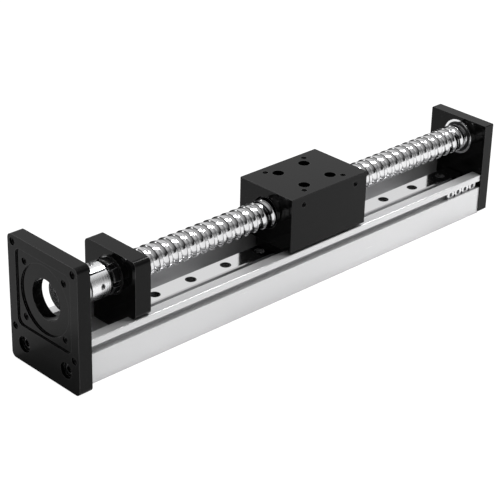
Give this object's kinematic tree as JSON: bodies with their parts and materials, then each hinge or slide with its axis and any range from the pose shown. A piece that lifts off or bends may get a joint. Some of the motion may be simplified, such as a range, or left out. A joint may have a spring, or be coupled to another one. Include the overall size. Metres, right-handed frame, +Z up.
{
  "type": "linear guide",
  "caption": "Ball-screw linear guide: a carriage on a rail in an aluminium base, driven by a screw between a motor plate and an end plate.",
  "frame": {"origin": "middle of the footprint, on the surface that the base stands on", "axes": "+X along the screw, from the motor plate to the end plate; +Z up, out of the carriage's top; +Y across"},
  "size_m": [0.317, 0.0546, 0.071],
  "materials": {
    "clear_anodised": "satin clear-anodised extrusion",
    "black_anodised": "satin black-anodised, machined",
    "ground_steel": "hardened and ground, bright",
    "steel": "ground bearing steel",
    "turned_aluminium": "bright turned",
    "zinc_plate": "zinc plated",
    "black_oxide": "black oxide",
    "black_plastic": "moulded",
    "black_rubber": "moulded"
  },
  "bodies": {
    "base": {"base_extrusion": "clear_anodised", "guide_rail": "ground_steel", "rail_screws": "black_oxide", "motor_plate": "black_anodised", "motor_plate_screws": "black_oxide", "bearing_block": "black_anodised", "bearing_block_screws": "black_oxide", "block_circlip": "black_oxide", "end_plate": "black_anodised", "end_plate_screws": "black_oxide", "slot_nuts": "zinc_plate", "fixed_bearing_outer_ring": "steel", "fixed_bearing_balls": "steel", "fixed_bearing_seals": "black_rubber", "end_bearing_outer_ring": "steel", "end_bearing_balls": "steel", "end_bearing_seals": "black_rubber"},
    "screw": {"ball_screw": "ground_steel", "fixed_bearing_inner_ring": "steel", "end_bearing_inner_ring": "steel", "spacer_ring": "steel", "lock_nut": "black_oxide", "journal_circlip": "black_oxide", "coupling_hub": "turned_aluminium", "coupling_screws": "black_oxide"},
    "carriage": {"carriage_block": "black_anodised", "ball_nut": "steel", "nut_wiper_near": "black_plastic", "nut_wiper_far": "black_plastic", "nut_circlip": "black_oxide", "slider_body": "steel", "slider_balls": "steel", "slider_cap_near": "black_plastic", "slider_cap_far": "black_plastic", "slider_seal_near": "black_rubber", "slider_seal_far": "black_rubber", "slider_screws": "black_oxide"}
  },
  "joints": [
    {"name": "screw_spin", "type": "hinge", "parent": "base", "child": "screw", "pos_m": [0, 0, 0.0435], "axis": [1, 0, 0], "range_deg": [-5847.4, 5645.8]},
    {"name": "carriage_slide", "type": "slide", "parent": "base", "child": "carriage", "axis": [1, 0, 0], "range_m": [-0.098, 0.1015]}
  ],
  "couplings": [
    {"joint": "screw_spin", "follows": "carriage_slide", "rad_per_m": -1005.3}
  ]
}
